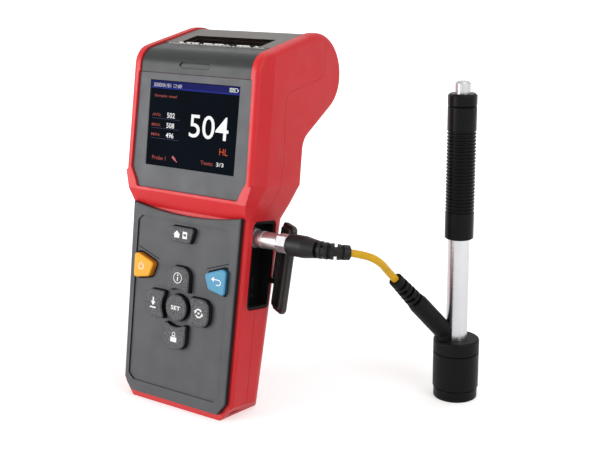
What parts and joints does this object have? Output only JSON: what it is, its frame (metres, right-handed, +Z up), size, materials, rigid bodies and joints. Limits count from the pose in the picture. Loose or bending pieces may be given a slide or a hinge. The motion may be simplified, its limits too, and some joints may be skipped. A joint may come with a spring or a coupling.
{
  "type": "leeb hardness tester",
  "caption": "Handheld rebound hardness tester with colour display, keypad and paper printer, standing beside its impact probe on a short lead.",
  "frame": {"origin": "centre of the meter's slanted foot, on the surface it stands on", "axes": "+Z up, +X to the meter's right as its display is read, +Y towards its back; the meter leans 9.5 degrees back about X, and the probe's tube is along Z"},
  "size_m": [0.1416, 0.0913, 0.1584],
  "materials": {
    "red_housing": "satin moulded plastic",
    "dark_steel": "blackened screw heads",
    "grey_bezel": "satin grey moulding",
    "screen_glass": "gloss window over a lit colour display",
    "circuit": "circuit board with parts",
    "keypad_grey": "fine textured dark grey",
    "key_rubber": "speckled matte rubber with white symbols",
    "yellow_rubber": "satin yellow rubber",
    "blue_rubber": "satin blue rubber",
    "dome_film": "film with snap domes",
    "battery_wrap": "shrink wrap",
    "black_plastic": "matte black moulding",
    "chrome": "polished plating",
    "steel": "bright steel",
    "flap_rubber": "matte dark brown black rubber",
    "cover_gloss": "glossy dark grey",
    "lid_grey": "satin warm grey",
    "smoked_window": "smoked brown clear plastic",
    "roller_rubber": "ground rubber",
    "gear_plastic": "white acetal",
    "brass": "machined",
    "motor_can": "drawn can",
    "aluminium": "satin heat sink",
    "thermal_paper": "coated paper",
    "boot_rubber": "satin black",
    "yellow_cable": "satin yellow jacket",
    "black_anodised": "matte black anodised",
    "copper_coil": "enamelled copper winding on a bobbin",
    "silver_tube": "polished",
    "black_moulding": "matte black moulding",
    "carbide": "polished tungsten carbide ball",
    "spring_steel": "spring wire",
    "black_sleeve": "satin black"
  },
  "bodies": {
    "root": {"front_housing": "red_housing", "rear_housing": "red_housing", "housing_screws": "dark_steel", "display_bezel": "grey_bezel", "display_window": "screen_glass", "display_module": "circuit", "keypad_panel": "keypad_grey", "dome_sheet": "dome_film", "main_board": "circuit", "battery_pack": "battery_wrap", "port_tray": "black_plastic", "probe_socket": "chrome", "usb_socket": "steel", "cover_hinge": "black_plastic", "printer_front_cover": "cover_gloss", "tear_bar": "steel", "lid_hinge_pin": "steel", "printer_frame": "steel", "printer_motor": "motor_can", "print_head": "aluminium", "paper_tray": "black_plastic", "paper_roll": "thermal_paper", "plug_shell": "chrome", "plug_nut": "chrome", "plug_boot": "boot_rubber", "probe_cable": "yellow_cable", "support_ring": "black_anodised", "coil_housing": "black_anodised", "sensing_coil": "copper_coil", "guide_tube": "silver_tube", "cable_outlet": "black_moulding", "spring_seat": "steel", "impact_spring": "spring_steel", "loading_spring": "spring_steel"},
    "home_key": {"home_key": "key_rubber"},
    "power_key": {"power_key": "yellow_rubber"},
    "back_key": {"back_key": "blue_rubber"},
    "info_key": {"info_key": "key_rubber"},
    "down_key": {"down_key": "key_rubber"},
    "set_key": {"set_key": "key_rubber"},
    "cycle_key": {"cycle_key": "key_rubber"},
    "print_key": {"print_key": "key_rubber"},
    "lid": {"printer_lid": "lid_grey", "lid_window": "smoked_window"},
    "platen": {"platen_shaft": "steel", "platen_roller": "roller_rubber", "platen_gear": "gear_plastic"},
    "idler": {"idler_gear": "gear_plastic"},
    "pinion": {"motor_pinion": "brass"},
    "cover": {"port_cover": "flap_rubber"},
    "sleeve": {"loading_sleeve": "black_sleeve", "sleeve_cap": "black_sleeve", "catch_chuck": "steel", "release_spring": "spring_steel"},
    "button": {"release_button": "chrome"},
    "impactor": {"impact_body": "steel", "ball_tip": "carbide"}
  },
  "joints": [
    {"name": "home_key_press", "type": "slide", "parent": "root", "child": "home_key", "axis": [0, 0.9863, -0.165], "range_m": [0, 0.0008], "stiffness_N_per_m": 500, "springref_m": -0.001},
    {"name": "power_key_press", "type": "slide", "parent": "root", "child": "power_key", "axis": [0, 0.9863, -0.165], "range_m": [0, 0.0008], "stiffness_N_per_m": 500, "springref_m": -0.001},
    {"name": "back_key_press", "type": "slide", "parent": "root", "child": "back_key", "axis": [0, 0.9863, -0.165], "range_m": [0, 0.0008], "stiffness_N_per_m": 500, "springref_m": -0.001},
    {"name": "info_key_press", "type": "slide", "parent": "root", "child": "info_key", "axis": [0, 0.9863, -0.165], "range_m": [0, 0.0008], "stiffness_N_per_m": 500, "springref_m": -0.001},
    {"name": "down_key_press", "type": "slide", "parent": "root", "child": "down_key", "axis": [0, 0.9863, -0.165], "range_m": [0, 0.0008], "stiffness_N_per_m": 500, "springref_m": -0.001},
    {"name": "set_key_press", "type": "slide", "parent": "root", "child": "set_key", "axis": [0, 0.9863, -0.165], "range_m": [0, 0.0008], "stiffness_N_per_m": 500, "springref_m": -0.001},
    {"name": "cycle_key_press", "type": "slide", "parent": "root", "child": "cycle_key", "axis": [0, 0.9863, -0.165], "range_m": [0, 0.0008], "stiffness_N_per_m": 500, "springref_m": -0.001},
    {"name": "print_key_press", "type": "slide", "parent": "root", "child": "print_key", "axis": [0, 0.9863, -0.165], "range_m": [0, 0.0008], "stiffness_N_per_m": 500, "springref_m": -0.001},
    {"name": "lid_hinge", "type": "hinge", "parent": "root", "child": "lid", "pos_m": [0, 0.05795, 0.15368], "axis": [-1, 0, 0], "range_deg": [0, 90]},
    {"name": "platen_spin", "type": "hinge", "parent": "lid", "child": "platen", "pos_m": [0, 0.03099, 0.14609], "axis": [1, 0, 0], "continuous": true},
    {"name": "idler_spin", "type": "hinge", "parent": "root", "child": "idler", "pos_m": [-0.0276, 0.03185, 0.13713], "axis": [1, 0, 0], "continuous": true},
    {"name": "pinion_spin", "type": "hinge", "parent": "root", "child": "pinion", "pos_m": [-0.0276, 0.02676, 0.13096], "axis": [1, 0, 0], "continuous": true},
    {"name": "cover_hinge_turn", "type": "hinge", "parent": "root", "child": "cover", "pos_m": [0.0329, 0.02166, 0.06248], "axis": [0.0698, 0.1646, 0.9839], "range_deg": [-4, 60]},
    {"name": "sleeve_load", "type": "slide", "parent": "root", "child": "sleeve", "axis": [0, 0, -1], "range_m": [0, 0.022], "stiffness_N_per_m": 150, "springref_m": -0.01, "deforming": ["loading_spring"]},
    {"name": "button_press", "type": "slide", "parent": "sleeve", "child": "button", "axis": [0, 0, -1], "range_m": [0, 0.003], "stiffness_N_per_m": 500, "springref_m": -0.002, "deforming": ["release_spring"]},
    {"name": "impactor_lift", "type": "slide", "parent": "root", "child": "impactor", "axis": [0, 0, 1], "range_m": [0, 0.022], "stiffness_N_per_m": 60, "springref_m": -0.01, "deforming": ["impact_spring"]}
  ],
  "couplings": [
    {"joint": "idler_spin", "follows": "platen_spin", "ratio": -0.8},
    {"joint": "pinion_spin", "follows": "platen_spin", "ratio": 1.3333}
  ]
}
